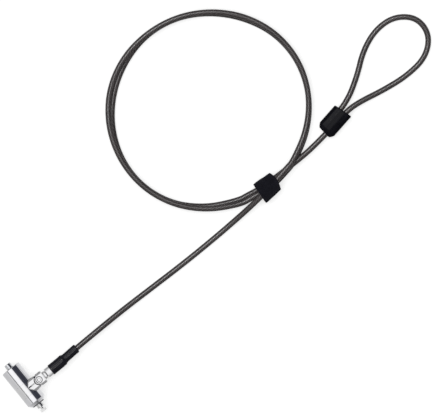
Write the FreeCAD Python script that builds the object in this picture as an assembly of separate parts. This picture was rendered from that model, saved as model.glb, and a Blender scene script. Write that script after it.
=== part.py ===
"""Laptop cable lock: a barrel lock on a swivel, with a coated steel cable that ends in a crimped loop.

The lock head is drawn in its own frame: X runs along the barrel axis towards the T-bar, Y towards the
cable, Z up, with the origin on the barrel axis. place() then moves it so that the barrel rests on the
floor plane and the origin is the bottom centre of the head. The cable is drawn in that final frame.
All sizes are in millimetres.
"""
import FreeCAD, Part
import math
import os

Vector = FreeCAD.Vector

# Barrel
BARREL_R = 9.8
BARREL_REAR = -19.8
BARREL_FRONT = 22.4
BARREL_CHAMFER_START = 19.4
BARREL_CHAMFER_R = 6.9
SPIGOT_R = 8.0
SPIGOT_END = 15.0
BORE_R = 5.6
RING_GAP = 0.05

# Swivel ring and the lug that carries the cable
SWIVEL_X = 5.7
RING_WIDTH = 12.6
RING_R = 9.7
PIVOT_Y = 14.6
LUG_WIDTH = 12.4
LUG_TOP = 9.95
LUG_BOTTOM = -9.75
LUG_TIP_Y = 0.8
LUG_SIDE_Y = 6.0
LUG_END_Y = 11.9
LUG_SIDE_CHAMFER = 2.0
LUG_TIP_CHAMFER = 0.7
LUG_GROOVE_WIDTH = 1.2
LUG_GROOVE_DEPTH = 2.0
SEAT_R = 6.6
SEAT_HALF_HEIGHT = 7.3
SEAT_END_Y = 10.6
COVER_R = 5.0
TONGUE_HALF = 2.0
TONGUE_R = 3.0
RIVET_R = 1.5
RIVET_HEAD_R = 3.1
RIVET_SEAT = 0.9
RUNNING_FIT = 0.05

# Fork and the neck that the cable is crimped in
FORK_WIDTH = 12.6
FORK_HALF_HEIGHT = 7.0
FORK_CHAMFER = 2.2
FORK_END_CHAMFER = 0.9
FORK_END = 20.7
FORK_BRIDGE = 17.9
COLLAR_R = 3.9
COLLAR_END = 22.9
NECK_START = 23.75
NECK_END = 36.5
NECK_R = 4.8
SWIVEL_PIN_R = 2.4
SWIVEL_PIN_END = 29.3
CLIP_Y = 28.3
CLIP_THICKNESS = 0.7
CLIP_SEAT_R = 1.8
NECK_CAVITY_R = 3.5
NECK_CAVITY_START = 28.1
SWAGE_START = 30.0
CRIMP_R = 2.3
CRIMP_END = 40.5

# Strain-relief boot
BOOT_START = 29.0
BOOT_END = 61.2
BOOT_STEP = 44.0
BOOT_R = 5.45
BOOT_SLIM_R = 4.4

# Push plug, key core and return spring
PLUG_REAR = -24.8
PLUG_R = 3.35
PISTON_REAR = -17.6
PISTON_FRONT = -8.0
PISTON_R = 5.5
PLUG_STROKE = 4.5
GUIDE_X = -11.0
GUIDE_R = 0.8
CORE_R = 2.75
CAGE_R = 4.3
CAGE_BORE_R = 3.5
CAGE_REAR = -17.4
CAGE_FRONT = -10.9
KEYWAY_WIDTH = 1.1
KEYWAY_HEIGHT = 3.6
DISC_COUNT = 5
DISC_PITCH = 1.0
DISC_THICKNESS = 0.8
LATCH_PLATE_REAR = -1.0
LATCH_PLATE_FRONT = 0.5
LATCH_SHAFT_R = 1.3
LATCH_SPAN_R = 3.2
LATCH_HALF_THICKNESS = 1.0
LEG_INNER = 3.4
LEG_OUTER = 4.6
LEG_HALF_WIDTH = 1.2
CARRIER_REAR = 3.5
CARRIER_FRONT = 5.5
SPRING_MEAN_R = 5.05
SPRING_WIRE = 0.5
SPRING_COILS = 4

# Nose, T-bar and lock pins
NOSE_FLANGE_REAR = 15.0
NOSE_FLANGE_FRONT = 17.0
NOSE_FLANGE_R = 5.0
NOSE_INNER_R = 3.6
NOSE_R = 3.3
WASHER_FRONT = 23.2
WASHER_R = 6.2
NOSE_FRONT = 27.0
SHANK_R = 1.3
T_BACK = 29.3
T_FRONT = 31.8
T_WIDTH = 6.0
T_THICKNESS = 2.4
PIN_OFFSET = 2.3
PIN_R = 0.65
PIN_TIP = 26.5

# Cable
CABLE_D = 5.4
CABLE_R = CABLE_D / 2
FLOOR_Z = CABLE_R
ARC_SHARE = 0.45

# Where the head stands in the final frame: bottom centre of its own box
HEAD_SHIFT = Vector(-(PLUG_REAR + T_FRONT) / 2, -(BOOT_END - BARREL_R) / 2, BARREL_R)
CABLE_X = SWIVEL_X + HEAD_SHIFT.x
CRIMP_Y = CRIMP_END + HEAD_SHIFT.y
BOOT_EXIT_Y = BOOT_END + HEAD_SHIFT.y

# Coil: a ring that lies on the floor, and the strap that ties it to the straight cable
COIL_CENTRE = Vector(-95.8, 274.0, 0)
COIL_INNER_R = 88.0
COIL_OUTER_R = 99.5
COIL_HEIGHT = 11.0
COIL_ROUNDING = 3.5
TIE_CENTRE = Vector(-3.8, 272.3, 0)
TIE_LENGTH = 20.0
TIE_WIDTH = 20.5
TIE_HEIGHT = 16.6
TIE_ROUNDING = 6.0

# Crimp sleeve that closes the cable's end loop
SLEEVE_START = Vector(-10.2, 348.3, 0)
SLEEVE_DIRECTION = Vector(-0.183, 0.983, 0)
SLEEVE_LENGTH = 26.4
SLEEVE_WIDTH = 17.8
SLEEVE_HEIGHT = 12.4
SLEEVE_Z = SLEEVE_HEIGHT / 2
SWAGE_MARGIN = 7.0
SWAGE_WIDTH = 13.6
SWAGE_HEIGHT = 8.4
THROUGH_SIDE = 2.85
RETURN_SIDE = -2.85

parts = {}


def place(shape):
    """Move a shape from the head's own frame to the final frame."""
    moved = shape.copy()
    moved.translate(HEAD_SHIFT)
    return moved


def add(name, shape, in_head=True):
    """Keep one named piece, cleaned of leftover seams."""
    cleaned = shape.removeSplitter()
    parts[name] = place(cleaned) if in_head else cleaned


def rod(radius, start, end):
    """Cylinder on the barrel axis."""
    return Part.makeCylinder(radius, end - start, Vector(start, 0, 0), Vector(1, 0, 0))


def cone(radius_start, radius_end, start, end):
    """Cone on the barrel axis."""
    return Part.makeCone(radius_start, radius_end, end - start, Vector(start, 0, 0), Vector(1, 0, 0))


def neck_rod(radius, start, end):
    """Cylinder on the neck's axis, which runs along Y through the middle of the swivel ring."""
    return Part.makeCylinder(radius, end - start, Vector(SWIVEL_X, start, 0), Vector(0, 1, 0))


def neck_cone(radius_start, radius_end, start, end):
    """Cone on the neck's axis."""
    return Part.makeCone(radius_start, radius_end, end - start, Vector(SWIVEL_X, start, 0), Vector(0, 1, 0))


def pivot_post(radius, low, high):
    """Upright cylinder on the clevis pivot."""
    return Part.makeCylinder(radius, high - low, Vector(SWIVEL_X, PIVOT_Y, low))


def block(x_range, y_range, z_range):
    """Box between two corners."""
    size = [pair[1] - pair[0] for pair in (x_range, y_range, z_range)]
    return Part.makeBox(*size, Vector(x_range[0], y_range[0], z_range[0]))


def centred(half):
    """Range of a given half-width about zero."""
    return (-half, half)


def about(middle, width):
    """Range of a given width about a middle value."""
    return (middle - width / 2, middle + width / 2)


def chamfer_edges(shape, size, wanted):
    """Chamfer each edge that the wanted() test picks."""
    edges = [edge for edge in shape.Edges if wanted(edge)]
    return shape.makeChamfer(size, edges)


def circle_at(axis, value, radius):
    """Test for a full circular edge at a place along one axis, with a given radius."""
    def matches(edge):
        if not isinstance(edge.Curve, Part.Circle) or not edge.isClosed():
            return False
        centre = edge.Curve.Center
        return abs(getattr(centre, axis) - value) < 1e-4 and abs(edge.Curve.Radius - radius) < 1e-4
    return matches


def make_barrel():
    """Two turned halves that trap the swivel ring, and the pins pressed into them."""
    ring_rear = SWIVEL_X - RING_WIDTH / 2 - RING_GAP
    ring_front = SWIVEL_X + RING_WIDTH / 2 + RING_GAP
    cap_front = BARREL_REAR + 2.0
    cap_r = 7.5
    pin_top = BARREL_R - 0.3

    rear = rod(BARREL_R, BARREL_REAR, ring_rear).fuse(rod(SPIGOT_R, ring_rear, SPIGOT_END))
    rear = rear.cut(rod(BORE_R, cap_front, SPIGOT_END))
    rear = rear.cut(rod(cap_r, BARREL_REAR, cap_front))
    guide_tip = 5.0
    guide = Part.makeCylinder(GUIDE_R, pin_top - guide_tip, Vector(GUIDE_X, -guide_tip, 0), Vector(0, -1, 0))
    rear = rear.cut(guide)
    rear = chamfer_edges(rear, 0.5, circle_at("x", BARREL_REAR, BARREL_R))
    add("barrel_rear", rear)
    add("guide_pin", guide)

    front = rod(BARREL_R, ring_front, BARREL_CHAMFER_START)
    front = front.fuse(cone(BARREL_R, BARREL_CHAMFER_R, BARREL_CHAMFER_START, BARREL_FRONT))
    front = front.cut(rod(SPIGOT_R, ring_front, SPIGOT_END))
    front = front.cut(rod(NOSE_FLANGE_R, NOSE_FLANGE_REAR, NOSE_FLANGE_FRONT))
    front = front.cut(rod(NOSE_INNER_R, NOSE_FLANGE_FRONT, BARREL_FRONT))
    assembly_tip = 6.2
    pin_base = Vector((ring_front + SPIGOT_END) / 2, 0, -assembly_tip)
    assembly_pin = Part.makeCylinder(GUIDE_R, pin_top - assembly_tip, pin_base, Vector(0, 0, -1))
    front = front.cut(assembly_pin)
    add("barrel_front", front)
    parts["barrel_rear"] = parts["barrel_rear"].cut(place(assembly_pin))
    add("assembly_pin", assembly_pin)

    cap = rod(cap_r, BARREL_REAR, cap_front).cut(rod(PLUG_R + 0.1, BARREL_REAR, cap_front))
    cap = chamfer_edges(cap, 0.3, circle_at("x", BARREL_REAR, PLUG_R + 0.1))
    add("rear_cap", cap)

    washer = rod(WASHER_R, BARREL_FRONT, WASHER_FRONT).cut(rod(NOSE_INNER_R, BARREL_FRONT, WASHER_FRONT))
    washer = chamfer_edges(washer, 0.3, circle_at("x", WASHER_FRONT, WASHER_R))
    add("nose_washer", washer)


def make_nose():
    """Nose block, fixed T-bar and the cross pin that holds it."""
    nose = rod(NOSE_FLANGE_R, NOSE_FLANGE_REAR, NOSE_FLANGE_FRONT)
    nose = nose.fuse(rod(NOSE_INNER_R, NOSE_FLANGE_FRONT, WASHER_FRONT))
    nose = nose.fuse(rod(NOSE_R, WASHER_FRONT, NOSE_FRONT))
    nose = nose.cut(rod(SHANK_R, NOSE_FLANGE_REAR, NOSE_FRONT))
    for side in (-1, 1):
        hole = rod(PIN_R + RUNNING_FIT, NOSE_FLANGE_REAR, NOSE_FRONT)
        hole.translate(Vector(0, 0, side * PIN_OFFSET))
        nose = nose.cut(hole)
    cross_x = (NOSE_FLANGE_REAR + NOSE_FLANGE_FRONT) / 2
    cross_half = NOSE_FLANGE_R - 0.3
    cross = Part.makeCylinder(0.5, 2 * cross_half, Vector(cross_x, -cross_half, 0), Vector(0, 1, 0))
    add("nose_block", nose.cut(cross))

    head = block((T_BACK, T_FRONT), centred(T_WIDTH / 2), centred(T_THICKNESS / 2))
    lead_in = 0.7
    head = chamfer_edges(head, lead_in, lambda edge: abs(abs(edge.CenterOfMass.y) - T_WIDTH / 2) < 1e-4
                         and abs(edge.CenterOfMass.x - T_FRONT) < 1e-4)
    bar = rod(SHANK_R, NOSE_FLANGE_REAR, T_BACK).fuse(head)
    add("t_bar", bar.cut(cross))
    add("t_bar_pin", cross)


def make_plug():
    """Push plug with its piston: it slides in the barrel and carries the key core."""
    plug = rod(PLUG_R, PLUG_REAR, PISTON_REAR).fuse(rod(PISTON_R, PISTON_REAR, PISTON_FRONT))
    plug = plug.cut(rod(CORE_R + RUNNING_FIT, PLUG_REAR, CAGE_REAR))
    plug = plug.cut(rod(CAGE_R + RUNNING_FIT, CAGE_REAR, PISTON_FRONT))
    slot_half = GUIDE_R + 0.1
    slot_range = (GUIDE_X - PLUG_STROKE - slot_half, GUIDE_X + slot_half)
    plug = plug.cut(block(slot_range, (-PISTON_R, -4.85), centred(slot_half)))
    sidebar_range = (CAGE_REAR + 1.2, CAGE_FRONT - 0.3)
    plug = plug.cut(block(sidebar_range, centred(0.7), (CAGE_R - 0.1, CAGE_R + 0.5)))
    plug = chamfer_edges(plug, 0.3, circle_at("x", PLUG_REAR, PLUG_R))
    add("push_plug", plug)


def keyway(start, end, width, height):
    """The slot that the key's blade goes through."""
    return block((start, end), centred(width / 2), centred(height / 2))


def make_core():
    """Key core with its discs, sidebar and the latch that it turns."""
    core = rod(CORE_R, PLUG_REAR + 0.3, CAGE_REAR).fuse(rod(CAGE_R, CAGE_REAR, CAGE_FRONT))
    disc_start = CAGE_REAR + 1.0
    core = core.cut(rod(CAGE_BORE_R, disc_start, CAGE_FRONT))
    core = core.cut(keyway(PLUG_REAR, disc_start, KEYWAY_WIDTH, KEYWAY_HEIGHT))
    sidebar_space = block((disc_start, CAGE_FRONT), centred(0.65), (0, CAGE_R))
    core = core.cut(sidebar_space)
    add("key_core", core)

    discs = []
    for index in range(DISC_COUNT):
        start = disc_start + 0.1 + index * DISC_PITCH
        disc = rod(CAGE_BORE_R - RUNNING_FIT, start, start + DISC_THICKNESS)
        disc = disc.cut(keyway(start, start + DISC_THICKNESS, KEYWAY_WIDTH + 0.2, KEYWAY_HEIGHT + 0.2))
        notch = block((start, start + DISC_THICKNESS), centred(0.7), (3.0, CAGE_BORE_R))
        discs.append(disc.cut(notch))
    add("core_discs", Part.makeCompound(discs))

    sidebar = block((disc_start + 0.1, CAGE_FRONT - 0.1), centred(0.6), (3.1, CAGE_R - 0.05))
    add("sidebar", sidebar)

    tail_front = LATCH_PLATE_REAR - 1.2
    tail_rear = tail_front - 1.6
    latch = rod(CAGE_R, CAGE_FRONT, CAGE_FRONT + 1.0).fuse(rod(LATCH_SHAFT_R, CAGE_FRONT + 1.0, tail_rear))
    bar = block((tail_rear, tail_front), centred(LATCH_SPAN_R), centred(LATCH_HALF_THICKNESS))
    bar = bar.common(rod(LATCH_SPAN_R, tail_rear, tail_front))
    add("core_latch", latch.fuse(bar))


def make_carrier():
    """Retainer that closes the piston, and the carrier that takes the lock pins forward."""
    retainer_rear = CAGE_FRONT + 1.1
    retainer = rod(CAGE_R + RUNNING_FIT, retainer_rear, PISTON_FRONT)
    retainer = retainer.cut(rod(LATCH_SHAFT_R + 2 * RUNNING_FIT, retainer_rear, PISTON_FRONT))
    legs = []
    leg_start = PISTON_FRONT - 0.5
    for z_range in ((LEG_INNER, LEG_OUTER), (-LEG_OUTER, -LEG_INNER)):
        legs.append(block((leg_start, CARRIER_FRONT), centred(LEG_HALF_WIDTH), z_range))
    within_piston = rod(CAGE_R + RUNNING_FIT, leg_start, PISTON_FRONT)
    ahead_of_piston = rod(BORE_R, PISTON_FRONT, CARRIER_FRONT)
    reach = within_piston.fuse(ahead_of_piston)
    for leg in legs:
        retainer = retainer.fuse(leg.common(reach))
    add("core_retainer", retainer)

    carrier = rod(5.3, CARRIER_REAR, CARRIER_FRONT)
    for leg in legs:
        carrier = carrier.cut(leg)
    pins = []
    for side in (-1, 1):
        pin = rod(PIN_R, CARRIER_REAR, PIN_TIP)
        pin.translate(Vector(0, 0, side * PIN_OFFSET))
        carrier = carrier.cut(pin)
        pins.append(chamfer_edges(pin, 0.2, circle_at("x", PIN_TIP, PIN_R)))
    add("pin_carrier", carrier)
    add("lock_pins", Part.makeCompound(pins))


def make_latch_plate():
    """Fixed plate that the latch passes through and then turns behind."""
    room = 0.15
    x_range = (LATCH_PLATE_REAR, LATCH_PLATE_FRONT)
    plate = rod(BORE_R, *x_range).cut(rod(LATCH_SHAFT_R + room, *x_range))
    plate = plate.cut(block(x_range, centred(LATCH_SPAN_R + room), centred(LATCH_HALF_THICKNESS + room)))
    for z_range in ((LEG_INNER - room, LEG_OUTER + room), (-LEG_OUTER - room, -LEG_INNER + room)):
        plate = plate.cut(block(x_range, centred(LEG_HALF_WIDTH + room), z_range))
    add("latch_plate", plate)


def make_spring():
    """Return spring between the piston and the latch plate, as a helix with a round wire."""
    start = PISTON_FRONT + SPRING_WIRE / 2 + 0.02
    length = LATCH_PLATE_REAR - SPRING_WIRE / 2 - 0.02 - start
    helix = Part.makeHelix(length / SPRING_COILS, length, SPRING_MEAN_R)
    wire = Part.Wire(Part.makeCircle(SPRING_WIRE / 2, Vector(SPRING_MEAN_R, 0, 0), Vector(0, 1, 0)))
    spring = Part.Wire(helix.Edges).makePipeShell([wire], True, True)
    spring.rotate(Vector(0, 0, 0), Vector(0, 1, 0), 90)
    spring.translate(Vector(start, 0, 0))
    add("return_spring", spring)


def make_swivel_link():
    """Ring around the barrel, with a flat-topped pointed lug and the tongue that takes the fork."""
    x_range = about(SWIVEL_X, RING_WIDTH)
    left, right = about(SWIVEL_X, LUG_WIDTH)
    outline = [Vector(SWIVEL_X, LUG_TIP_Y), Vector(right, LUG_SIDE_Y), Vector(right, LUG_END_Y),
               Vector(left, LUG_END_Y), Vector(left, LUG_SIDE_Y), Vector(SWIVEL_X, LUG_TIP_Y)]
    link = Part.Face(Part.makePolygon(outline)).extrude(Vector(0, 0, LUG_TOP - LUG_BOTTOM))
    link.translate(Vector(0, 0, LUG_BOTTOM))
    link = chamfer_edges(link, LUG_SIDE_CHAMFER, lambda edge: on_lug_top(edge)
                         and abs(abs(edge.CenterOfMass.x - SWIVEL_X) - LUG_WIDTH / 2) < 1e-4)
    link = chamfer_edges(link, LUG_TIP_CHAMFER, lambda edge: on_lug_top(edge)
                         and edge.CenterOfMass.y < LUG_SIDE_Y)
    link = link.cut(pivot_post(COVER_R, LUG_BOTTOM, LUG_TOP))
    link = link.cut(pivot_post(SEAT_R, -SEAT_HALF_HEIGHT, SEAT_HALF_HEIGHT))
    link = link.cut(block(about(SWIVEL_X, LUG_WIDTH + 1), (SEAT_END_Y, LUG_END_Y), centred(SEAT_HALF_HEIGHT)))
    groove_y = (LUG_TIP_Y + 1.0, PIVOT_Y)
    groove_z = (LUG_TOP - LUG_GROOVE_DEPTH, LUG_TOP)
    link = link.cut(block(about(SWIVEL_X, LUG_GROOVE_WIDTH), groove_y, groove_z))
    tongue = block(about(SWIVEL_X, 2 * TONGUE_R), (LUG_SIDE_Y, PIVOT_Y), centred(TONGUE_HALF))
    tongue = tongue.fuse(pivot_post(TONGUE_R, -TONGUE_HALF, TONGUE_HALF))
    link = link.fuse(rod(RING_R, *x_range)).fuse(tongue)
    link = link.cut(rod(SPIGOT_R + RUNNING_FIT, *x_range))
    link = link.cut(pivot_post(RIVET_R + RUNNING_FIT, -TONGUE_HALF, TONGUE_HALF))
    add("swivel_link", link)


def on_lug_top(edge):
    """Whether an edge lies in the lug's flat top."""
    return abs(edge.CenterOfMass.z - LUG_TOP) < 1e-4


def fork_ear(side):
    """Round end of one ear, undercut where it passes the barrel and chamfered to its outer face."""
    undercut_r = 4.6
    widest_r = 5.9
    widest_z = 4.9
    face_r = FORK_WIDTH / 2 - FORK_CHAMFER
    ear_gap = TONGUE_HALF + RUNNING_FIT
    axis = Vector(0, 0, side)
    inner = Part.makeCone(undercut_r, widest_r, widest_z - ear_gap,
                          Vector(SWIVEL_X, PIVOT_Y, side * ear_gap), axis)
    outer = Part.makeCone(widest_r, face_r, FORK_HALF_HEIGHT - widest_z,
                          Vector(SWIVEL_X, PIVOT_Y, side * widest_z), axis)
    return inner.fuse(outer)


def make_fork():
    """Fork whose two ears close on the tongue, with the collar and pin that the neck turns on."""
    half = FORK_WIDTH / 2
    fork = block(about(SWIVEL_X, FORK_WIDTH), (PIVOT_Y, FORK_END), centred(FORK_HALF_HEIGHT))
    fork = chamfer_edges(fork, FORK_CHAMFER, lambda edge: abs(edge.CenterOfMass.x - SWIVEL_X) > half - 1e-4
                         and abs(edge.CenterOfMass.z) > FORK_HALF_HEIGHT - 1e-4)
    fork = chamfer_edges(fork, FORK_END_CHAMFER, lambda edge: abs(edge.CenterOfMass.y - FORK_END) < 1e-4)
    for side in (-1, 1):
        fork = fork.fuse(fork_ear(side))
    slot = block(about(SWIVEL_X, FORK_WIDTH + 2), (0, FORK_BRIDGE), centred(TONGUE_HALF + RUNNING_FIT))
    fork = fork.cut(slot)
    pin_start = NECK_START - RUNNING_FIT
    fork = fork.fuse(neck_rod(COLLAR_R, FORK_END, COLLAR_END)).fuse(neck_rod(3.0, COLLAR_END, pin_start))
    fork = fork.fuse(neck_rod(SWIVEL_PIN_R, pin_start, SWIVEL_PIN_END))
    clip_end = CLIP_Y + CLIP_THICKNESS
    clip_seat = neck_rod(SWIVEL_PIN_R, CLIP_Y, clip_end).cut(neck_rod(CLIP_SEAT_R, CLIP_Y, clip_end))
    fork = fork.cut(clip_seat)
    for side in (-1, 1):
        fork = fork.cut(rivet_head(side))
    fork = fork.cut(pivot_post(RIVET_R, -FORK_HALF_HEIGHT, FORK_HALF_HEIGHT))
    add("cable_fork", fork)


def rivet_head(side):
    """Countersunk head of the rivet on one side of the fork, with its crown and dimple."""
    base = Vector(SWIVEL_X, PIVOT_Y, side * (FORK_HALF_HEIGHT - RIVET_SEAT))
    body = Part.makeCylinder(RIVET_HEAD_R, RIVET_SEAT, base, Vector(0, 0, side))
    crown_base = Vector(SWIVEL_X, PIVOT_Y, side * FORK_HALF_HEIGHT)
    crown = Part.makeCone(RIVET_HEAD_R, RIVET_HEAD_R - 0.4, 0.4, crown_base, Vector(0, 0, side))
    dimple_base = crown_base + Vector(0, 0, side * 0.1)
    dimple = Part.makeCone(1.3, 1.8, 0.3, dimple_base, Vector(0, 0, side))
    return body.fuse(crown).cut(dimple)


def make_rivet():
    """Rivet that the clevis pivots on."""
    shank_half = FORK_HALF_HEIGHT - RIVET_SEAT
    rivet = pivot_post(RIVET_R, -shank_half, shank_half)
    add("pivot_rivet", rivet.fuse(rivet_head(1)).fuse(rivet_head(-1)))


def make_neck():
    """Neck ferrule that turns on the fork's pin, its retaining clip and the crimped cable end."""
    ferrule = neck_rod(NECK_R, NECK_START, NECK_END)
    ferrule = ferrule.cut(neck_rod(SWIVEL_PIN_R + RUNNING_FIT, NECK_START, NECK_CAVITY_START))
    ferrule = ferrule.cut(neck_rod(NECK_CAVITY_R, NECK_CAVITY_START, NECK_END))
    ferrule = chamfer_edges(ferrule, 0.4, circle_at("y", NECK_START, NECK_R))
    add("neck_ferrule", ferrule)

    clip_end = CLIP_Y + CLIP_THICKNESS
    clip = neck_rod(3.2, CLIP_Y, clip_end).cut(neck_rod(CLIP_SEAT_R, CLIP_Y, clip_end))
    opening = block(about(SWIVEL_X, 3.0), (CLIP_Y, clip_end), (0, 3.3))
    add("neck_clip", clip.cut(opening))

    swage = neck_rod(NECK_CAVITY_R, SWAGE_START, NECK_END).fuse(neck_rod(CRIMP_R, NECK_END, CRIMP_END))
    core_r = 1.8
    swage = swage.cut(neck_rod(core_r, NECK_END - 4.0, CRIMP_END))
    add("core_swage", swage)
    add("steel_core_end", neck_rod(core_r, NECK_END - 4.0, CRIMP_END))


def make_boot():
    """Moulded strain relief over the neck and the cable."""
    boot = neck_rod(BOOT_R, BOOT_START, BOOT_STEP)
    boot = boot.fuse(neck_cone(BOOT_R, BOOT_SLIM_R, BOOT_STEP, BOOT_STEP + 1.5))
    boot = boot.fuse(neck_rod(BOOT_SLIM_R, BOOT_STEP + 1.5, BOOT_END))
    boot = boot.removeSplitter()
    boot = chamfer_edges(boot, 1.2, circle_at("y", BOOT_END, BOOT_SLIM_R))
    boot = chamfer_edges(boot, 0.6, circle_at("y", BOOT_START, BOOT_R))
    boot = boot.cut(neck_rod(NECK_R, BOOT_START, NECK_END))
    boot = boot.cut(neck_rod(CRIMP_R, NECK_END, CRIMP_END))
    boot = boot.cut(neck_rod(CABLE_R, CRIMP_END, BOOT_END))
    add("strain_boot", boot)


def route_wire(points):
    """Straight runs joined by tangent arcs, each as large as its two runs allow."""
    edges = []
    start = points[0]
    radii = []
    for before, corner, after in zip(points, points[1:], points[2:]):
        incoming = corner - before
        outgoing = after - corner
        turn = incoming.getAngle(outgoing)
        radius = ARC_SHARE * min(incoming.Length, outgoing.Length) / math.tan(turn / 2)
        cut_back = radius * math.tan(turn / 2)
        incoming.normalize()
        outgoing.normalize()
        arc_start = corner - incoming * cut_back
        arc_end = corner + outgoing * cut_back
        towards_centre = outgoing - incoming
        towards_centre.normalize()
        sagitta = radius / math.cos(turn / 2) - radius
        edges.append(Part.LineSegment(start, arc_start).toShape())
        edges.append(Part.Arc(arc_start, corner + towards_centre * sagitta, arc_end).toShape())
        start = arc_end
        radii.append(radius)
    edges.append(Part.LineSegment(start, points[-1]).toShape())
    return Part.Wire(edges), radii


def make_cable(name, points):
    """One stretch of cable as a tube along its route."""
    wire, radii = route_wire(points)
    first = points[1] - points[0]
    section = Part.Wire(Part.makeCircle(CABLE_R, points[0], first))
    tube = wire.makePipeShell([section], True, True)
    expected = math.pi * CABLE_R ** 2 * wire.Length
    print(f"{name}: length {wire.Length:.1f} mm, volume {tube.Volume / expected:.4f} of section x length,"
          f" valid {tube.isValid()}, lowest {tube.BoundBox.ZMin:.3f}")
    print("   radii " + " ".join(f"{radius:.0f}" for radius in radii))
    add(name, tube, in_head=False)
    return wire.Length


def in_sleeve(along, side, height=SLEEVE_Z):
    """Point in the crimp sleeve: along its length, to one side of its middle line, at a height."""
    forward = Vector(SLEEVE_DIRECTION)
    forward.normalize()
    sideways = Vector(forward.y, -forward.x, 0)
    return SLEEVE_START + forward * along + sideways * side + Vector(0, 0, height)


def lead_route():
    """From the crimp in the neck, down to the floor and along it, then up on to the coil at the tie."""
    return [Vector(CABLE_X, CRIMP_Y, BARREL_R), Vector(1.9, 38.0, 9.8), Vector(0.7, 64.0, 8.9),
            Vector(0.8, 96.0, 4.9), Vector(1.6, 130.0, 2.7), Vector(2.9, 168.0, 2.7),
            Vector(2.6, 203.0, 2.7), Vector(1.9, 222.0, 3.6), Vector(1.1, 241.5, 7.0),
            Vector(-0.9, 260.5, 10.4)]


def tail_route():
    """From the tie, between the coil's two turns and on to the crimp sleeve."""
    return [Vector(-5.8, 283.0, 7.2), Vector(-5.3, 303.0, 7.9), Vector(-5.8, 325.0, 6.3),
            in_sleeve(-6.0, THROUGH_SIDE), in_sleeve(SWAGE_MARGIN, THROUGH_SIDE)]


def loop_route():
    """The end loop: out of the crimp sleeve, round, and back into it."""
    crimp_end = SLEEVE_LENGTH - SWAGE_MARGIN
    return [in_sleeve(crimp_end, THROUGH_SIDE), in_sleeve(31.0, THROUGH_SIDE, 6.0), Vector(-11.2, 394.5, 4.6),
            Vector(-7.2, 414.0, 3.0), Vector(-3.2, 441.0, 2.7), Vector(-3.0, 468.3, 2.7),
            Vector(-18.6, 484.9, 2.7), Vector(-41.2, 484.4, 2.7), Vector(-56.4, 468.0, 2.7),
            Vector(-57.0, 446.0, 2.7), Vector(-47.6, 424.0, 2.7), Vector(-31.5, 404.5, 3.2),
            in_sleeve(35.0, RETURN_SIDE, 5.4), in_sleeve(crimp_end, RETURN_SIDE)]


def make_cables():
    """The three free stretches of the cable."""
    total = make_cable("cable_lead", lead_route())
    total += make_cable("cable_tail", tail_route())
    total += make_cable("cable_loop", loop_route())
    turns = 2 * 2 * math.pi * (COIL_INNER_R + COIL_OUTER_R) / 2
    print(f"cable: free stretches {total:.0f} mm, two turns of coil {turns:.0f} mm")


def make_coil():
    """The two turns of the coil, as one ring of their outer shape."""
    ring = Part.makeCylinder(COIL_OUTER_R, COIL_HEIGHT, COIL_CENTRE)
    ring = ring.cut(Part.makeCylinder(COIL_INNER_R, COIL_HEIGHT, COIL_CENTRE))
    rims = [edge for edge in ring.Edges if isinstance(edge.Curve, Part.Circle)]
    ring = ring.makeFillet(COIL_ROUNDING, rims)
    add("cable_coil", ring, in_head=False)


def edges_along_y(shape):
    """The straight edges that run along Y."""
    return [edge for edge in shape.Edges if abs(edge.tangentAt(edge.FirstParameter).y) > 0.99]


def make_tie():
    """Hook-and-loop strap that wraps the three strands where they lie on each other."""
    tie = block(about(0, TIE_WIDTH), about(0, TIE_LENGTH), (0, TIE_HEIGHT))
    tie = tie.makeFillet(TIE_ROUNDING, edges_along_y(tie))
    tie.translate(TIE_CENTRE)
    add("tie_strap", tie, in_head=False)


def sleeve_body(margin, width, height):
    """Rounded oval body along the sleeve's line, shorter than it by a margin at each end."""
    length = SLEEVE_LENGTH - 2 * margin
    body = block(about(0, width), (0, length), about(0, height))
    body = body.makeFillet(height / 2 - 0.3, edges_along_y(body))
    return body, length


def to_sleeve_frame(shape, margin):
    """Turn and move a shape from along +Y at the origin to the sleeve's line."""
    angle = -math.degrees(math.atan2(SLEEVE_DIRECTION.x, SLEEVE_DIRECTION.y))
    shape.rotate(Vector(0, 0, 0), Vector(0, 0, 1), angle)
    shape.translate(in_sleeve(margin, 0))
    return shape


def make_sleeve():
    """Moulded cover of the crimp, domed where one cable enters, and the crimp inside it."""
    body, length = sleeve_body(0, SLEEVE_WIDTH, SLEEVE_HEIGHT)
    domed_end = [edge for edge in body.Edges if abs(edge.CenterOfMass.y) < 1e-3]
    body = body.makeFillet(2.4, domed_end)
    crimp, crimp_length = sleeve_body(SWAGE_MARGIN, SWAGE_WIDTH, SWAGE_HEIGHT)
    body = to_sleeve_frame(body, 0)
    crimp = to_sleeve_frame(crimp, SWAGE_MARGIN)
    forward = in_sleeve(1, 0) - in_sleeve(0, 0)
    entry = Part.makeCylinder(CABLE_R, SWAGE_MARGIN + 1, in_sleeve(-1, THROUGH_SIDE), forward)
    body = body.cut(crimp).cut(entry)
    for side in (THROUGH_SIDE, RETURN_SIDE):
        leaving = in_sleeve(SLEEVE_LENGTH - SWAGE_MARGIN, side)
        body = body.cut(Part.makeCylinder(CABLE_R, SWAGE_MARGIN + 1, leaving, forward))
    add("loop_sleeve", body, in_head=False)
    add("loop_crimp", crimp, in_head=False)


make_barrel()
make_nose()
make_plug()
make_core()
make_carrier()
make_latch_plate()
make_spring()
make_swivel_link()
make_fork()
make_rivet()
make_neck()
make_boot()
make_cables()
make_coil()
make_tie()
make_sleeve()

os.makedirs("parts", exist_ok=True)
for node, shape in parts.items():
    shape.exportStep(f"parts/{node}.step")
print(len(parts), "parts")
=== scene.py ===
import math

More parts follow.
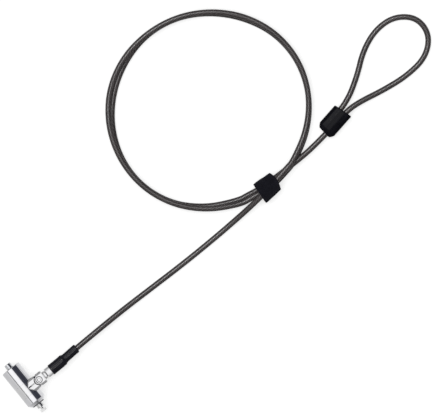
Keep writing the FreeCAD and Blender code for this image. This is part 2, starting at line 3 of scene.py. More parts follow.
import bmesh
import bpy
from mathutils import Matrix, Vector


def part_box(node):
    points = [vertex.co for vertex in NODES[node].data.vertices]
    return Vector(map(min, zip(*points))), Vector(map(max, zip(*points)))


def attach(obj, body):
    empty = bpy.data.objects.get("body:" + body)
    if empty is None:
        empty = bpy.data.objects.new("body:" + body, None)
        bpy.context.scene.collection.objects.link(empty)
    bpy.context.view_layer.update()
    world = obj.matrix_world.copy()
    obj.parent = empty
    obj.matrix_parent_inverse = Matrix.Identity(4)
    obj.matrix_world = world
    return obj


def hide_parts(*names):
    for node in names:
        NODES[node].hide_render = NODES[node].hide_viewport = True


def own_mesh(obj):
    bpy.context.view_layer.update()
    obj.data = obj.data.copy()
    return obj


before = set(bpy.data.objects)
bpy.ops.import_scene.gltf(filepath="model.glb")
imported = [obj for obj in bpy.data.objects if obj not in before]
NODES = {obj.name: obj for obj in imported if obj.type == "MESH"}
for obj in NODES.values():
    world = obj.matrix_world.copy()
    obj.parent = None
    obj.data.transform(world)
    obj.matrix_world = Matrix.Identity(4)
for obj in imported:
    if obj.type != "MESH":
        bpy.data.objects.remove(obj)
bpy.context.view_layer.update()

# All sizes are in metres, in the frame's own axes: the barrel lies along X and the cable
# leaves the head along +Y, over a floor at z = 0.
MM = 0.001
CABLE_D = 0.0054
CABLE_R = CABLE_D / 2
ROUND = 2 * math.pi


# ---------------------------------------------------------------- camera, light and floor

VIEW_CENTRE = Vector((-0.0189, 0.2221, 0))
VIEW_HEIGHT = 6.857
VIEW_LENS = 600
VIEW_TURN = math.radians(51.1)


def make_camera():
    """A very long lens straight above the object, turned so that its head is low on the left."""
    data = bpy.data.cameras.new("camera")
    data.lens = VIEW_LENS
    data.sensor_width = 36
    camera = bpy.data.objects.new("camera", data)
    camera.location = VIEW_CENTRE + Vector((0, 0, VIEW_HEIGHT))
    camera.rotation_euler = (0, 0, VIEW_TURN)
    bpy.context.scene.collection.objects.link(camera)
    bpy.context.scene.camera = camera
    bpy.context.scene.view_settings.view_transform = "Standard"


class Nodes:
    """Short ways to add nodes to a tree and to join them."""

    def __init__(self, tree):
        self.tree = tree

    def add(self, kind, inputs=(), **settings):
        """Adds a node. Each input is a value to set or a socket to join."""
        node = self.tree.nodes.new("ShaderNode" + kind)
        for name, value in settings.items():
            setattr(node, name, value)
        for key, value in dict(inputs).items():
            self.set(node.inputs[key], value)
        return node

    def set(self, socket, value):
        if isinstance(value, bpy.types.NodeSocket):
            self.tree.links.new(value, socket)
        else:
            socket.default_value = value

    def maths(self, operation, first, second=0.0):
        node = self.add("Math", operation=operation)
        self.set(node.inputs[0], first)
        self.set(node.inputs[1], second)
        return node.outputs[0]

    def tinted(self, first, second):
        """Two colours multiplied."""
        node = self.add("Mix", data_type="RGBA", blend_type="MULTIPLY")
        self.set(node.inputs["Factor"], 1.0)
        self.set(node.inputs[6], first)
        self.set(node.inputs[7], second)
        return node.outputs[2]

    def ramp(self, factor, stops, interpolation="LINEAR"):
        """A colour ramp. A stop is (place, grey) or (place, colour)."""
        node = self.add("ValToRGB", {"Fac": factor})
        node.color_ramp.interpolation = interpolation
        elements = node.color_ramp.elements
        while len(elements) < len(stops):
            elements.new(1.0)
        for element, (place, colour) in zip(elements, sorted(stops, key=lambda stop: stop[0])):
            element.position = place
            element.color = rgba(colour)
        return node.outputs["Color"]


def rgba(colour):
    """A grey or an (r, g, b) as four numbers."""
    if isinstance(colour, (int, float)):
        colour = (colour, colour, colour)
    return (*colour, 1.0)


def angle_place(degrees):
    """Where an angle from -180 to 180 degrees lies on a ramp from 0 to 1."""
    return (degrees + 180) / 360


def make_world():
    """A studio tent: a bright softbox overhead, a dark flag beyond it and pale walls."""
    world = bpy.data.worlds.new("studio")
    world.use_nodes = True
    world.cycles.sampling_method = "NONE"
    bpy.context.scene.world = world
    nodes = Nodes(world.node_tree)
    direction = nodes.add("SeparateXYZ", {0: nodes.add("TexCoord").outputs["Generated"]})
    x, y, z = (direction.outputs[i] for i in range(3))
    angle = nodes.maths("ARCTAN2", y, z)
    place = nodes.add("MapRange", {0: angle, 1: -math.pi, 2: math.pi, 3: 0.0, 4: 1.0})
    tent = nodes.ramp(place.outputs[0], [
        (angle_place(-70), 0.52),
        (angle_place(-53), 0.64),
        (angle_place(-51), 0.16),
        (angle_place(-43), 0.16),
        (angle_place(-41), 0.84),
        (angle_place(-20), 0.92),
        (angle_place(9), 0.84),
        (angle_place(13), (0.056, 0.058, 0.074)),
        (angle_place(45), (0.032, 0.034, 0.045)),
        (angle_place(77), (0.046, 0.048, 0.062)),
        (angle_place(83), 0.66),
    ])
    ends = nodes.ramp(nodes.maths("ABSOLUTE", x),
                      [(0.5, 1.0), (0.75, 0.82), (0.93, 0.66), (1.0, 0.5)])
    studio = nodes.tinted(tent, ends)
    ray = nodes.add("LightPath")
    glossy = nodes.add("Background", {"Color": studio, "Strength": 1.6})
    dome = nodes.ramp(z, [(0.0, 0.05), (0.35, 0.3), (1.0, 1.0)])
    soft = nodes.add("Background", {"Color": dome, "Strength": 0.40})
    backdrop = nodes.add("Background", {"Color": rgba((0.93, 0.935, 0.945)), "Strength": 1.0})
    lit = nodes.add("MixShader", {0: ray.outputs["Is Glossy Ray"], 1: soft.outputs[0]})
    nodes.set(lit.inputs[2], glossy.outputs[0])
    seen = nodes.add("MixShader", {0: ray.outputs["Is Camera Ray"], 1: lit.outputs[0]})
    nodes.set(seen.inputs[2], backdrop.outputs[0])
    nodes.set(world.node_tree.nodes["World Output"].inputs["Surface"], seen.outputs[0])


def make_key_light():
    """A very wide soft light overhead, which the metal doesn't mirror."""
    data = bpy.data.lights.new("overhead", "SUN")
    data.energy = 2.75
    data.angle = math.radians(60)
    light = bpy.data.objects.new("overhead", data)
    light.rotation_euler = (math.radians(6), math.radians(-8), 0)
    light.visible_glossy = False
    bpy.context.scene.collection.objects.link(light)


def make_sheen_light(lit):
    """A smaller lamp overhead, a little to one side, that only glosses the pieces it is given."""
    data = bpy.data.lights.new("sheen", "SUN")
    data.energy = 9.0
    data.angle = math.radians(22)
    light = bpy.data.objects.new("sheen", data)
    light.rotation_euler = (0, math.radians(-19), 0)
    light.visible_diffuse = False
    receivers = bpy.data.collections.new("sheen_receivers")
    for piece in lit:
        receivers.objects.link(piece)
    light.light_linking.receiver_collection = receivers
    bpy.context.scene.collection.objects.link(light)


def make_floor():
    """A wide pale studio floor."""
    half = 4.0
    mesh = bpy.data.meshes.new("floor")
    mesh.from_pydata([(-half, -half, 0), (half, -half, 0), (half, half, 0), (-half, half, 0)],
                     [], [(0, 1, 2, 3)])
    material, nodes, shader = new_material(
        "pale_floor", roughness=0.8, specular=0.0, colour=0.42)
    shader.inputs["Emission Color"].default_value = rgba(1.0)
    shader.inputs["Emission Strength"].default_value = 0.62
    grain = nodes.add("TexNoise", {"Scale": 900.0, "Detail": 3.0})
    bump = nodes.add("Bump", {"Height": grain.outputs[0], "Strength": 0.02, "Distance": MM})
    nodes.set(shader.inputs["Normal"], bump.outputs[0])
    mesh.materials.append(material)
    floor = bpy.data.objects.new("floor", mesh)
    floor.location.z = -0.02 * MM
    floor.visible_diffuse = False
    floor.visible_glossy = False
    bpy.context.scene.collection.objects.link(floor)


# ---------------------------------------------------------------- materials

def new_material(name, colour, roughness, metallic=0.0, specular=0.5, coat=0.0):
    """A material, its node helper and its shader, with the even values set on the shader."""
    material = bpy.data.materials.new(name)
    material.use_nodes = True
    nodes = Nodes(material.node_tree)
    shader = material.node_tree.nodes["Principled BSDF"]
    shader.inputs["Base Color"].default_value = rgba(colour)
    shader.inputs["Roughness"].default_value = roughness
    shader.inputs["Metallic"].default_value = metallic
    shader.inputs["Specular IOR Level"].default_value = specular
    shader.inputs["Coat Weight"].default_value = coat
    return material, nodes, shader


def polished_plate(name, colour, smooth, hazy, scratch=0.03, shade_reach=0.0009, ring=None):
    """Bright plate: smears in its gloss, hair-fine scratches and painted shade darkening its
    recesses.

    With a ring, (centre, radius), painted shade also lines that circle about Z.
    """
    material, nodes, shader = new_material(name, colour, smooth, metallic=1.0)
    place = nodes.add("TexCoord").outputs["Object"]
    smear = nodes.add("TexNoise", {"Vector": place, "Scale": 160.0, "Detail": 5.0})
    gloss = nodes.ramp(smear.outputs[0], [(0.35, smooth), (0.7, hazy)])
    nodes.set(shader.inputs["Roughness"], gloss)
    deep = tuple(0.93 * channel for channel in colour)
    tone = nodes.ramp(smear.outputs[0], [(0.3, colour), (0.75, deep)])
    # Painted shade: the plate's colour is darkened in its recesses and where parts meet.
    tone = nodes.tinted(tone, painted_recess_shade(nodes, shade_reach))
    # Painted shade: a dark line drawn on the plate round the rivet head's edge.
    if ring:
        centre, radius = ring
        flat = nodes.add("VectorMath", {0: place, 1: (1.0, 1.0, 0.0)}, operation="MULTIPLY")
        distance = nodes.add("VectorMath", {0: flat.outputs[0], 1: (centre.x, centre.y, 0.0)},
                             operation="DISTANCE")
        off = nodes.maths("ABSOLUTE", nodes.maths("SUBTRACT", distance.outputs["Value"], radius))
        rivet_ring_shade = nodes.ramp(nodes.maths("DIVIDE", off, MM),
                           [(0.12, 0.10), (0.34, 0.55), (0.6, 1.0)])
        tone = nodes.tinted(tone, rivet_ring_shade)
    nodes.set(shader.inputs["Base Color"], tone)
    stretched = nodes.add("Mapping", {"Vector": place, "Rotation": (0.3, 0.5, 0.7),
                                      "Scale": (250.0, 9000.0, 9000.0)})
    lines = nodes.add("TexNoise", {"Vector": stretched.outputs[0], "Scale": 1.0, "Detail": 2.0})
    fine = nodes.ramp(lines.outputs[0], [(0.62, 0.0), (0.72, 1.0)])
    bump = nodes.add("Bump", {"Height": fine, "Strength": scratch, "Distance": 0.02 * MM})
    nodes.set(shader.inputs["Normal"], bump.outputs[0])
    return material


def painted_recess_shade(nodes, reach):
    """Painted shade: white on open faces and dark where a wall stands closer than the reach."""
    open_sky = nodes.add("AmbientOcclusion", {"Distance": reach}, samples=8)
    return nodes.ramp(open_sky.outputs["AO"], [(0.40, 0.03), (0.70, 0.45), (0.90, 1.0)])


def turned_metal(name, colour, smooth, hazy, along="X"):
    """Machined metal with the fine rings that a lathe leaves round one axis."""
    material, nodes, shader = new_material(name, colour, smooth, metallic=1.0)
    place = nodes.add("TexCoord").outputs["Object"]
    smear = nodes.add("TexNoise", {"Vector": place, "Scale": 300.0, "Detail": 4.0})
    gloss = nodes.ramp(smear.outputs[0], [(0.3, smooth), (0.7, hazy)])
    nodes.set(shader.inputs["Roughness"], gloss)
    deep = tuple(0.8 * channel for channel in colour)
    tone = nodes.ramp(smear.outputs[0], [(0.3, colour), (0.8, deep)])
    nodes.set(shader.inputs["Base Color"], tone)
    rings = nodes.add("TexWave", {"Vector": place, "Scale": 1400.0, "Distortion": 0.4},
                      wave_type="BANDS", bands_direction=along, wave_profile="SIN")
    bump = nodes.add("Bump", {"Height": rings.outputs["Fac"], "Strength": 0.12,
                              "Distance": 0.03 * MM})
    nodes.set(shader.inputs["Normal"], bump.outputs[0])
    return material


def moulded_rubber(name, colour, worn, roughness, specular, grain=0.25):
    """Satin black elastomer: a fine moulded grain, flow marks and dusty wear."""
    material, nodes, shader = new_material(name, colour, roughness, specular=specular)
    place = nodes.add("TexCoord").outputs["Object"]
    cloud = nodes.add("TexNoise", {"Vector": place, "Scale": 220.0, "Detail": 6.0,
                                   "Roughness": 0.6})
    tone = nodes.ramp(cloud.outputs[0], [(0.35, colour), (0.75, worn)])
    nodes.set(shader.inputs["Base Color"], tone)
    gloss = nodes.ramp(cloud.outputs[0], [(0.3, roughness), (0.75, min(1.0, roughness + 0.18))])
    nodes.set(shader.inputs["Roughness"], gloss)
    pebble = nodes.add("TexVoronoi", {"Vector": place, "Scale": 3500.0})
    bump = nodes.add("Bump", {"Height": pebble.outputs["Distance"], "Strength": grain,
                              "Distance": 0.03 * MM})
    nodes.set(shader.inputs["Normal"], bump.outputs[0])
    return material


STRANDS = 8
STRAND_PITCH = 0.034
WIRES = 26
WIRE_PITCH = 0.012


def coated_cable(name):
    """Smoky vinyl over a twisted steel rope, whose strands show through as slanted bands."""
    material, nodes, shader = new_material(name, 0.1, 0.3, specular=0.1)
    uv = nodes.add("SeparateXYZ", {0: nodes.add("UVMap").outputs[0]})
    turn, along = uv.outputs[0], uv.outputs[1]
    strand = twisted_bands(nodes, turn, along, STRANDS, STRAND_PITCH)
    wire = twisted_bands(nodes, turn, along, -WIRES, WIRE_PITCH)
    fine = nodes.maths("ADD", 0.75, nodes.maths("MULTIPLY", wire, 0.25))
    relief = nodes.maths("MULTIPLY", strand, fine)
    place = nodes.add("TexCoord").outputs["Object"]
    cloud = nodes.add("TexNoise", {"Vector": place, "Scale": 60.0, "Detail": 4.0})
    steel = nodes.ramp(relief, [
        (0.0, (0.022, 0.019, 0.0195)),
        (0.35, (0.050, 0.044, 0.0445)),
        (1.0, (0.084, 0.075, 0.0755)),
    ])
    smoke = nodes.ramp(cloud.outputs[0], [(0.3, 0.75), (0.7, 1.0)])
    nodes.set(shader.inputs["Base Color"], nodes.tinted(steel, smoke))
    nodes.set(shader.inputs["Roughness"], nodes.ramp(relief, [(0.0, 0.38), (1.0, 0.28)]))
    ripple = nodes.add("TexNoise", {"Vector": place, "Scale": 400.0, "Detail": 2.0})
    bump = nodes.add("Bump", {"Height": ripple.outputs[0], "Strength": 0.05, "Distance": 0.1 * MM})
    nodes.set(shader.inputs["Normal"], bump.outputs[0])
    return material


def twisted_bands(nodes, turn, along, count, pitch):
    """0 at each groove to 1 on each crest of so many strands, which go once round in a pitch."""
    around = nodes.maths("MULTIPLY", turn, float(count))
    ahead = nodes.maths("MULTIPLY", along, abs(count) / pitch)
    phase = nodes.maths("MULTIPLY", nodes.maths("ADD", around, ahead), ROUND)
    wave = nodes.maths("COSINE", phase)
    return nodes.maths("ADD", nodes.maths("MULTIPLY", wave, 0.5), 0.5)


def loop_tape(name):
    """The napped face of black hook-and-loop tape: tangled loops over a woven ground."""
    material, nodes, shader = new_material(name, 0.01, 0.95, specular=0.08)
    shader.inputs["Sheen Weight"].default_value = 0.06
    shader.inputs["Sheen Roughness"].default_value = 0.6
    shader.inputs["Sheen Tint"].default_value = rgba((0.6, 0.62, 0.75))
    place = nodes.add("TexCoord").outputs["Object"]
    tangle = nodes.add("TexNoise", {"Vector": place, "Scale": 1800.0, "Detail": 6.0,
                                    "Roughness": 0.75, "Distortion": 1.5})
    patch = nodes.add("TexNoise", {"Vector": place, "Scale": 240.0, "Detail": 3.0})
    colour = nodes.ramp(tangle.outputs[0], [
        (0.3, (0.0025, 0.0025, 0.0040)),
        (0.55, (0.0095, 0.0095, 0.0135)),
        (0.8, (0.030, 0.030, 0.042)),
    ])
    shade = nodes.ramp(patch.outputs[0], [(0.3, 0.6), (0.75, 1.0)])
    nodes.set(shader.inputs["Base Color"], nodes.tinted(colour, shade))
    bump = nodes.add("Bump", {"Height": tangle.outputs[0], "Strength": 0.9, "Distance": 0.3 * MM})
    nodes.set(shader.inputs["Normal"], bump.outputs[0])
    return material


def make_materials():
    """Every finish by name."""
    low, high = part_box("pivot_rivet")
    rivet_centre = NODES["cable_fork"].matrix_world.inverted() @ ((low + high) / 2)
    rivet_radius = (high.x - low.x) / 2
    return {
        "shell": polished_plate("polished_chrome", (0.66, 0.66, 0.68), 0.05, 0.12),
        "link": polished_plate("link_chrome", (0.66, 0.66, 0.67), 0.10, 0.20),
        # The fork's chrome has a painted shade line round the rivet head.
        "fork": polished_plate("fork_chrome", (0.66, 0.66, 0.67), 0.10, 0.20,
                               ring=(rivet_centre, rivet_radius)),
        "plug": polished_plate("plug_chrome", (0.60, 0.61, 0.63), 0.12, 0.24),
        "nose": turned_metal("turned_steel", (0.62, 0.62, 0.62), 0.22, 0.36),
        "inner": turned_metal("machined_steel", (0.48, 0.48, 0.49), 0.3, 0.45),
        "pin": turned_metal("ground_pin_steel", (0.52, 0.52, 0.53), 0.2, 0.3, along="Z"),
        "neck": turned_metal("neck_steel", (0.5, 0.5, 0.51), 0.25, 0.4, along="Y"),
        "spring": turned_metal("spring_steel", (0.42, 0.42, 0.44), 0.25, 0.4),
        "brass": turned_metal("washed_brass", (0.62, 0.54, 0.36), 0.22, 0.35),
        "crimp": turned_metal("pressed_aluminium", (0.7, 0.7, 0.71), 0.35, 0.5, along="Y"),
        "washer": moulded_rubber("washer_rubber", (0.012, 0.012, 0.014), (0.03, 0.03, 0.033),
                                 0.6, 0.3),
        "boot": moulded_rubber("boot_rubber", (0.006, 0.006, 0.009), (0.012, 0.012, 0.017),
                               0.34, 0.05),
        "sleeve": moulded_rubber("sleeve_rubber", (0.0030, 0.0030, 0.0045), (0.007, 0.007, 0.010),
                                 0.34, 0.012),
        "cable": coated_cable("smoky_vinyl_cable"),
        "tape": loop_tape("hook_and_loop_tape"),
    }


CAD_FINISHES = {
    "shell": ("barrel_rear", "barrel_front", "rear_cap"),
    "link": ("swivel_link", "neck_ferrule"),
    "fork": ("cable_fork", "pivot_rivet"),
    "plug": ("push_plug",),
    "nose": ("nose_block", "t_bar", "lock_pins"),
    "inner": ("latch_plate", "core_retainer", "pin_carrier", "core_latch", "sidebar"),
    "pin": ("guide_pin", "assembly_pin", "t_bar_pin"),
    "neck": ("neck_clip", "core_swage", "steel_core_end"),
    "spring": ("return_spring",),
    "brass": ("key_core", "core_discs"),
    "crimp": ("loop_crimp",),
    "washer": ("nose_washer",),
}


def dress_cad_nodes():
    """Gives every carried-over CAD node its finish."""
    for finish, names in CAD_FINISHES.items():
        for name in names:
            slots = NODES[name].data.materials
            slots.clear()
            slots.append(FINISHES[finish])


def squeeze_spring():
    """Gives the return spring a mesh of its own."""
    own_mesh(NODES["return_spring"])


# ---------------------------------------------------------------- mesh helpers

def loft(name, rings, along, caps=True):
    """A skin through closed rings of points. U runs round it and V is the length along it."""
    count = len(rings[0])
    points = [point for ring in rings for point in ring]
    faces = []
    marks = []
    for i in range(len(rings) - 1):
        for j in range(count):
            k = (j + 1) % count
            faces.append((i * count + j, i * count + k,
                          (i + 1) * count + k, (i + 1) * count + j))
            u, v = j / count, (j + 1) / count
            marks += [(u, along[i]), (v, along[i]), (v, along[i + 1]), (u, along[i + 1])]
    if caps:
        last = (len(rings) - 1) * count
        faces.append(tuple(reversed(range(count))))
        faces.append(tuple(range(last, last + count)))
        marks += [(0.0, along[0])] * count + [(0.0, along[-1])] * count
    mesh = bpy.data.meshes.new(name)
    mesh.from_pydata(points, [], faces)
    layer = mesh.uv_layers.new(name="UVMap")
    for entry, mark in zip(layer.data, marks):
        entry.uv = mark
    mesh.shade_smooth()
    return mesh


def add_piece(mesh, finish, slot, *replaced):
    """Puts a mesh on the cable's body with its finish, in place of CAD nodes."""
    mesh.materials.append(FINISHES[finish])
    piece = bpy.data.objects.new(mesh.name, mesh)
    bpy.context.scene.collection.objects.link(piece)
    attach(piece, "cable_end")
    if replaced:
        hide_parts(*replaced)
    return piece


def smooth_step(low, high, value):
    """0 below low and 1 above high, with an even curve between."""
    share = min(1.0, max(0.0, (value - low) / (high - low)))
    return share * share * (3 - 2 * share)


# ---------------------------------------------------------------- cable

# The cable's route, as the control points of one smooth line. It runs from the crimp in
# the head, straight to the tie and over it, round the coil twice, and on to the end loop.
LEAD = (
    (0.0022, 0.0148, 0.0098), (0.0015, 0.0255, 0.0098), (0.0011, 0.0380, 0.0098),
    (0.0007, 0.0640, 0.0089),
    (0.0006, 0.0960, 0.0049), (0.0016, 0.1300, 0.0027), (0.0025, 0.1680, 0.0027),
    (0.0022, 0.2030, 0.0027), (0.0016, 0.2220, 0.0036), (0.0008, 0.2415, 0.0070),
    (-0.0007, 0.2605, 0.0112), (-0.0023, 0.2720, 0.0126), (-0.0042, 0.2850, 0.0131),
    (-0.0066, 0.2980, 0.0136),
)
BETWEEN_TURNS = (
    (-0.0054, 0.2540, 0.0067), (-0.0040, 0.2630, 0.0067), (-0.0018, 0.2720, 0.0050),
    (-0.0024, 0.2830, 0.0039), (-0.0037, 0.2920, 0.0030),
)
TAIL = (
    (-0.0096, 0.2540, 0.0032), (-0.0076, 0.2630, 0.0043), (-0.0073, 0.2720, 0.0050),
    (-0.0062, 0.2830, 0.0076), (-0.0060, 0.2980, 0.0083), (-0.0058, 0.3110, 0.0074),
    (-0.0061, 0.3250, 0.0062), (-0.0080, 0.3429, 0.0062), (-0.0096, 0.3557, 0.0062),
)
LOOP = (
    (-0.0112, 0.3670, 0.0062), (-0.0130, 0.3795, 0.0060), (-0.0113, 0.3945, 0.0046),
    (-0.0069, 0.4139, 0.0030), (-0.0031, 0.4406, 0.0027), (-0.0054, 0.4663, 0.0027),
    (-0.0197, 0.4831, 0.0027), (-0.0402, 0.4839, 0.0027), (-0.0544, 0.4678, 0.0027),
    (-0.0560, 0.4462, 0.0027), (-0.0476, 0.4240, 0.0027), (-0.0322, 0.4042, 0.0032),
    (-0.0191, 0.3810, 0.0054), (-0.0166, 0.3668, 0.0062),
)

# The coil's two turns, each as radii every 20 degrees from 20 to 340, anticlockwise. The
# upper turn rests in the side of the lower one after it has come down from the crossing.
# These radii are not chosen by hand: they are the coil's edges in the photo, as a measuring
# script printed them, less or plus the cable's radius.
COIL_CENTRE = Vector((-0.0958, 0.2740, 0))
COIL_STEP = math.radians(20)
UPPER_RADII = (
    0.0924, 0.0941, 0.0962, 0.0971, 0.0966, 0.0950, 0.0933, 0.0925, 0.0925,
    0.0939, 0.0950, 0.0948, 0.0946, 0.0945, 0.0940, 0.0930, 0.0927,
)
LOWER_RADII = (
    0.0940, 0.0951, 0.0963, 0.0968, 0.0958, 0.0932, 0.0921, 0.0923, 0.0919,
    0.0906, 0.0906, 0.0919, 0.0936, 0.0943, 0.0934, 0.0906, 0.0886,
)
CROSSING_HEIGHTS = (0.0126, 0.0083)
NESTED_GAP = 0.00545


def coil_turn(radii, heights):
    """The control points of one turn, a little outside the line that they draw."""
    points = []
    for index, (radius, height) in enumerate(zip(radii, heights), start=1):
        reach = radius / math.cos(COIL_STEP / 2)
        across = reach * math.cos(index * COIL_STEP)
        upward = reach * math.sin(index * COIL_STEP)
        points.append((COIL_CENTRE.x + across, COIL_CENTRE.y + upward, height))
    return points


def nested_heights():
    """How high the upper turn lies where it leans on the lower one."""
    heights = []
    for upper, lower in zip(UPPER_RADII, LOWER_RADII):
        heights.append(CABLE_R + math.sqrt(NESTED_GAP ** 2 - (upper - lower) ** 2))
    return list(CROSSING_HEIGHTS) + heights[len(CROSSING_HEIGHTS):]


def cable_route():
    """All control points of the cable, in order."""
    upper = coil_turn(UPPER_RADII, nested_heights())
    lower = coil_turn(LOWER_RADII, [CABLE_R] * len(LOWER_RADII))
    return [*LEAD, *upper, *BETWEEN_TURNS, *lower, *TAIL, *LOOP]


def smooth_line(name, points, steps):
    """The points along a smooth spline with these control points."""
    curve = bpy.data.curves.new(name, "CURVE")
    curve.dimensions = "3D"
    curve.resolution_u = steps
    spline = curve.splines.new("NURBS")
    spline.points.add(len(points) - 1)
    for control, point in zip(spline.points, points):
        control.co = (*point, 1)
    spline.order_u = 3
    spline.use_endpoint_u = True
    holder = bpy.data.objects.new(name, curve)
    mesh = bpy.data.meshes.new_from_object(holder)
    line = [vertex.co.copy() for vertex in mesh.vertices]
    bpy.data.objects.remove(holder)
    return line


def tube_rings(line, radius, sides):
    """A ring of points round each point of a line, without twist, and the lengths to them."""
    rings = []
    lengths = [0.0]
    across = (line[1] - line[0]).orthogonal().normalized()
    for index, centre in enumerate(line):
        ahead = line[min(index + 1, len(line) - 1)] - line[max(index - 1, 0)]
        ahead.normalize()
        across = (across - ahead * across.dot(ahead)).normalized()
        other = ahead.cross(across)
        ring = []
        for side in range(sides):
            angle = ROUND * side / sides
            ring.append(centre + radius * (math.cos(angle) * across + math.sin(angle) * other))
        rings.append(ring)
        if index:
            lengths.append(lengths[-1] + (centre - line[index - 1]).length)
    return rings, lengths


def make_cable():
    """The coated cable, from the crimp in the head to the end of its loop."""
    line = smooth_line("cable_line", cable_route(), 20)
    rings, lengths = tube_rings(line, CABLE_R, 24)
    mesh = loft("coated_cable", rings, lengths)
    cable = add_piece(mesh, "cable", "cable_vinyl",
                      "cable_lead", "cable_coil", "cable_tail", "cable_loop")
    return cable


# ---------------------------------------------------------------- boot

def ring_about_y(centre, y, radius_at, count):
    """A ring in a plane across Y, whose radius is a function of the angle round it."""
    ring = []
    for index in range(count):
        angle = ROUND * index / count
        radius = radius_at(angle)
        ring.append(Vector((centre.x + radius * math.cos(angle), y,
                            centre.z + radius * math.sin(angle))))
    return ring


BOOT_LOOK = {
    "sides": 96,
    "edge": 0.0011,
    "mouth_edge": 0.0004,
    "rib_count": 16,
    "rib_depth": 0.00014,
    "play": 0.00006,
    "lean": -0.0001,
    "slimmer_by": 0.00105,
    "step_at": 0.0145,
    "step_length": 0.0030,
}


def make_boot():
    """The black strain relief: two soft-edged lengths with a step, ribbed for grip."""
    low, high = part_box("strain_boot")
    centre = (low + high) / 2
    start, end = low.y, high.y
    wide = (high.x - low.x) / 2
    slim = wide - BOOT_LOOK["slimmer_by"]
    step = start + BOOT_LOOK["step_at"]
    step_end = step + BOOT_LOOK["step_length"]
    edge = BOOT_LOOK["edge"]
    mouth = BOOT_LOOK["mouth_edge"]
    line = smooth_line("boot_line", LEAD, 20)
    neck_low, neck_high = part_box("neck_ferrule")
    neck_end = neck_high.y + 0.0002
    outline = []
    for index in range(9):
        angle = math.pi / 2 * index / 8
        outline.append((start + mouth * (1 - math.sin(angle)),
                        wide - mouth + mouth * math.cos(angle)))
    outline.reverse()
    rows = 40
    for index in range(1, rows):
        y = start + mouth + (end - edge - start - mouth) * index / rows
        outline.append((y, wide - (wide - slim) * smooth_step(step, step_end, y)))
    for index in range(9):
        angle = math.pi / 2 * index / 8
        outline.append((end - edge + edge * math.sin(angle),
                        slim - edge + edge * math.cos(angle)))
    bore = CABLE_R + BOOT_LOOK["play"]
    lip = (neck_high.x - neck_low.x) / 2 + BOOT_LOOK["play"]
    outline += [(end - 0.0002, bore + 0.0002), (end - 0.0006, bore), (neck_end + 0.0005, bore),
                (neck_end, lip), (start + 0.0004, lip), (start + 0.0001, lip + 0.0002)]
    rings = []
    for y, radius in outline:
        ribbed = (smooth_step(start + 0.0012, start + 0.0026, y)
                  * (1 - smooth_step(step - 0.0012, step, y)))
        ribbed += (smooth_step(step_end, step_end + 0.0012, y)
                   * (1 - smooth_step(end - 0.0026, end - 0.0014, y)))
        ribbed = ribbed if radius > slim - 1e-5 else 0.0
        bent = centre.copy()
        bent.x = cable_x_at(line, y)
        if radius > lip + 0.0003:
            bent.x += BOOT_LOOK["lean"] * math.sin(math.pi * (y - start) / (end - start))
        elif y <= neck_end:
            bent.x = (neck_low.x + neck_high.x) / 2
        rings.append(ring_about_y(bent, y, rib_radius(radius, ribbed), BOOT_LOOK["sides"]))
    rings.append(rings[0])
    mesh = loft("strain_relief_boot", rings, [point[0].y for point in rings], caps=False)
    return add_piece(weld(mesh), "boot", "boot_rubber", "strain_boot")


def cable_x_at(line, y):
    """Where the cable's middle lies across the boot at some length along it."""
    for first, second in zip(line, line[1:]):
        if first.y <= y <= second.y:
            return first.x + (second.x - first.x) * (y - first.y) / (second.y - first.y)
    return line[0].x


def rib_radius(radius, ribbed):
    """The radius at an angle where shallow ribs run along the boot."""
    def at(angle):
        wave = 0.5 - 0.5 * math.cos(BOOT_LOOK["rib_count"] * angle)
        return radius - ribbed * BOOT_LOOK["rib_depth"] * (1 - wave ** 2)
    return at


def weld(mesh):
    """Joins doubled points and turns all faces outwards."""
    work = bmesh.new()
    work.from_mesh(mesh)
    bmesh.ops.remove_doubles(work, verts=work.verts, dist=1e-7)
    bmesh.ops.recalc_face_normals(work, faces=work.faces)
    work.to_mesh(mesh)
    work.free()
    return mesh


# ---------------------------------------------------------------- tie strap

STRAP_MIDDLE = Vector((-0.0043, 0.2731, 0.0087))
STRAP_LENGTH = 0.0214
STRAP_HALF_WIDTH = 0.0102
STRAP_HALF_HEIGHT = 0.0087
TAPE_THICKNESS = 0.0011
STRAP_START = math.radians(250)
STRAP_TURNS = 1.34


def strap_section(angle, half_width, half_height):
    """A point on the strap's rounded, slightly squashed section, from its middle."""
    power = 2 / 2.7
    c, s = math.cos(angle), math.sin(angle)
    x = half_width * math.copysign(abs(c) ** power, c)
    z = half_height * math.copysign(abs(s) ** power, s)
    return x, z


def make_strap():
    """A hook-and-loop strap wound once round the three strands, its tail lapped on top."""
    columns, rows = 150, 28
    outer, inner = [], []
    for column in range(columns + 1):
        share = column / columns
        angle = STRAP_START + ROUND * STRAP_TURNS * share
        lap = smooth_step(0.74, 0.80, share) * TAPE_THICKNESS * 1.05
        outer.append(strap_column(angle, lap, rows, 0.0))
        inner.append(strap_column(angle, lap, rows, TAPE_THICKNESS))
    rings = [front + back[::-1] for front, back in zip(outer, inner)]
    mesh = loft("tie_strap_tape", rings, [0.06 * i / columns for i in range(columns + 1)])
    return add_piece(weld(mesh), "tape", "strap_fabric", "tie_strap")


def strap_column(angle, lap, rows, depth):
    """The points across the strap's width at one place round it."""
    half_width = STRAP_HALF_WIDTH - TAPE_THICKNESS + lap - depth
    half_height = STRAP_HALF_HEIGHT - TAPE_THICKNESS + lap - depth
    points = []
    for row in range(rows + 1):
        place = 2 * row / rows - 1
        x, z = strap_section(angle, half_width, half_height)
        side = x / half_width
        bow = 0.0022 * side * side * smooth_step(-1.0, 1.0, place)
        y = STRAP_MIDDLE.y + place * STRAP_LENGTH / 2 - bow - 0.0007 * side
        ruffle = 0.00012 * math.sin(9 * angle + 4 * place) + 0.00008 * math.sin(23 * angle)
        edge = 0.0003 * (abs(place) ** 8)
        reach = 1 + (ruffle - edge) / half_width
        flare = 1 + 0.12 * smooth_step(1.0, -1.0, place)
        points.append(Vector((STRAP_MIDDLE.x + x * flare * reach, y, STRAP_MIDDLE.z + z * reach)))
    return points


# ---------------------------------------------------------------- loop sleeve

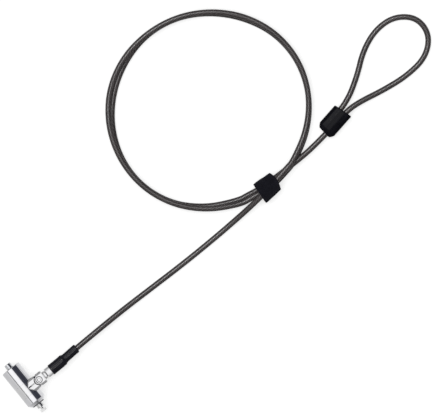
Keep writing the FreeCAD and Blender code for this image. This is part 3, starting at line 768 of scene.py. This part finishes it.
SLEEVE_START = Vector((-0.0106, 0.3467, 0))
SLEEVE_AXIS = Vector((-0.166, 0.986, 0)).normalized()
SLEEVE_SIDE = Vector((SLEEVE_AXIS.y, -SLEEVE_AXIS.x, 0))
SLEEVE_LENGTH = 0.0273
SLEEVE_HALF_WIDTH = 0.0094
SLEEVE_HALF_HEIGHT = 0.0062
SLEEVE_DOME = 0.0042
SLEEVE_MOUTH = (0.0060, 0.0042)
SLEEVE_SKEW = (-0.08, 0.125)


def sleeve_ring(along, width, height, count):
    """One flattened section of the sleeve, dipped where it wraps between two strands."""
    ring = []
    share = along / SLEEVE_LENGTH
    skew = SLEEVE_SKEW[0] * (1 - share) + SLEEVE_SKEW[1] * share
    base = SLEEVE_START + SLEEVE_AXIS * along
    for index in range(count):
        angle = ROUND * index / count
        power = 2 / 2.5
        c, s = math.cos(angle), math.sin(angle)
        side = math.copysign(abs(c) ** power, c)
        rise = math.copysign(abs(s) ** power, s)
        dip = 1 - 0.035 * math.exp(-((side + 0.35) / 0.3) ** 2)
        crease = 0.012 * math.cos(14 * angle) * min(1.0, abs(rise) * 2)
        rise *= dip + crease
        ring.append(base + SLEEVE_SIDE * width * side + SLEEVE_AXIS * skew * width * side
                    + Vector((0, 0, SLEEVE_HALF_HEIGHT + height * rise)))
    return ring


def make_sleeve():
    """The black sleeve over the loop's crimp, domed where the cable comes in."""
    count = 96
    rings, along = [], []
    stations = [0.0, 0.0002, 0.0005, 0.0010, 0.0017, 0.0025, 0.0033, SLEEVE_DOME]
    straight = SLEEVE_LENGTH - SLEEVE_DOME - 0.0010
    stations += [SLEEVE_DOME + straight * i / 20 for i in range(1, 21)]
    stations += [SLEEVE_LENGTH - 0.0006, SLEEVE_LENGTH - 0.0002, SLEEVE_LENGTH]
    for station in stations:
        share = min(1.0, station / SLEEVE_DOME)
        swell = 0.6 * share + 0.4 * math.sqrt(1 - (1 - share) ** 2)
        wide = SLEEVE_MOUTH[0] + (SLEEVE_HALF_WIDTH - SLEEVE_MOUTH[0]) * swell
        high = SLEEVE_MOUTH[1] + (SLEEVE_HALF_HEIGHT - SLEEVE_MOUTH[1]) * swell
        left = SLEEVE_LENGTH - station
        soft = 0.0008 * (1 - math.sqrt(1 - (1 - min(1.0, left / 0.0010)) ** 2))
        rings.append(sleeve_ring(station, wide - soft, high - soft, count))
        along.append(station)
    mesh = loft("loop_end_sleeve", rings, along)
    return add_piece(weld(mesh), "sleeve", "boot_rubber", "loop_sleeve")


# ---------------------------------------------------------------- scene

FINISHES = make_materials()
make_camera()
dress_cad_nodes()
strap = make_strap()
sleeve = make_sleeve()
cable = make_cable()
boot = make_boot()
make_world()
make_key_light()
make_sheen_light([cable, boot, sleeve])
squeeze_spring()
make_floor()
